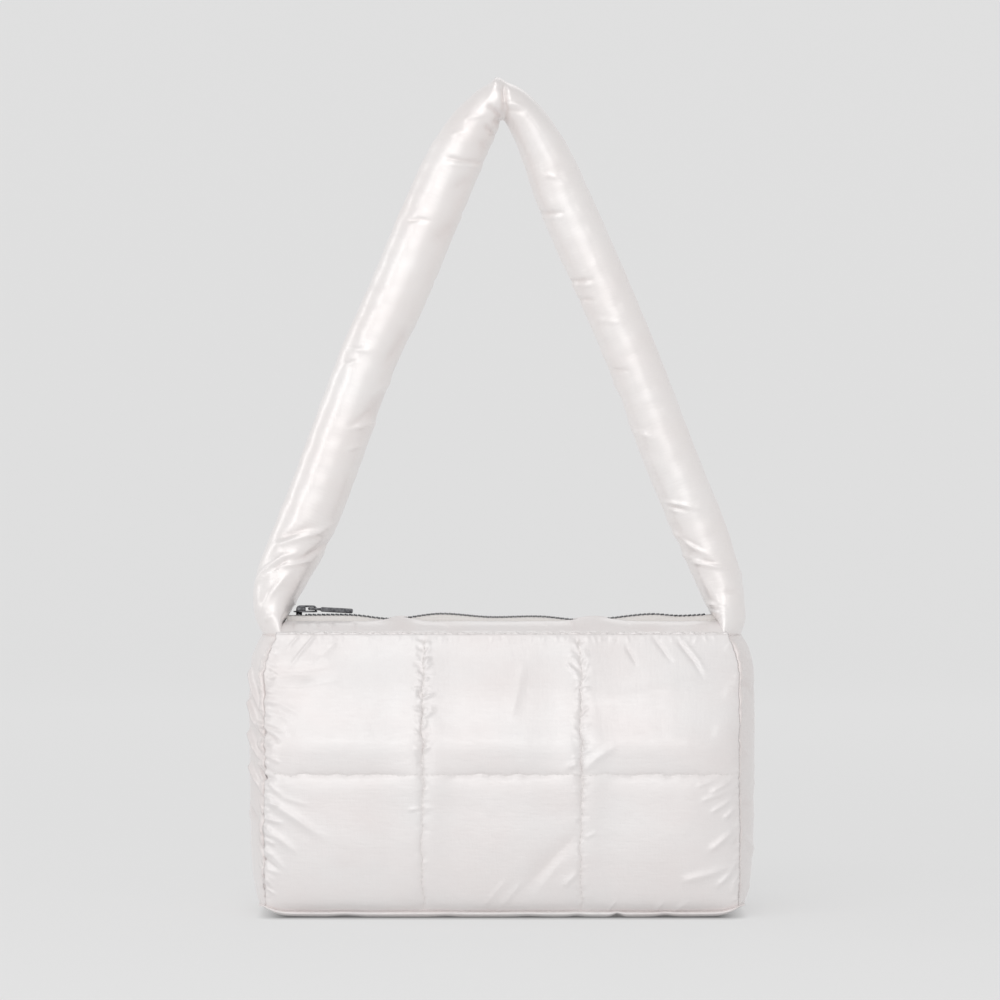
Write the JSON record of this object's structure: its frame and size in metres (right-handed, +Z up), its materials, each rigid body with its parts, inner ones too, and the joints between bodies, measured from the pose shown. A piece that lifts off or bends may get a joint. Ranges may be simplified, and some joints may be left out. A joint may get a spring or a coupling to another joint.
{
  "type": "quilted shoulder bag",
  "caption": "Padded satin shoulder bag with quilted front and back, plain side gussets, a metal zip along the top with a hinged pull, and a stuffed tube strap folded to a peak where it hangs.",
  "frame": {"origin": "inside the bend of the strap, on its lowest point, where the bag hangs on a hook or a hand", "axes": "+Z up along the hanging bag; +X along the zip towards the end without the slider; the quilted front faces -Y"},
  "size_m": [0.281, 0.1153, 0.4577],
  "materials": {
    "satin": "pearly satin, padded",
    "zip_tape": "matt woven tape",
    "zip_metal": "dark nickel, polished"
  },
  "bodies": {
    "bag": {"front_panel": "satin", "back_panel": "satin", "side_panel_left": "satin", "side_panel_right": "satin", "base_panel": "satin", "top_band_front": "satin", "top_band_back": "satin", "strap": "satin", "zip_tape_front": "zip_tape", "zip_tape_back": "zip_tape", "zip_teeth": "zip_metal", "zip_slider": "zip_metal"},
    "pull": {"zip_pull": "zip_metal"}
  },
  "joints": [
    {"name": "pull_hinge", "type": "hinge", "parent": "bag", "child": "pull", "pos_m": [-0.106, 0, -0.26825], "axis": [0, -1, 0], "range_deg": [0, 75]}
  ]
}
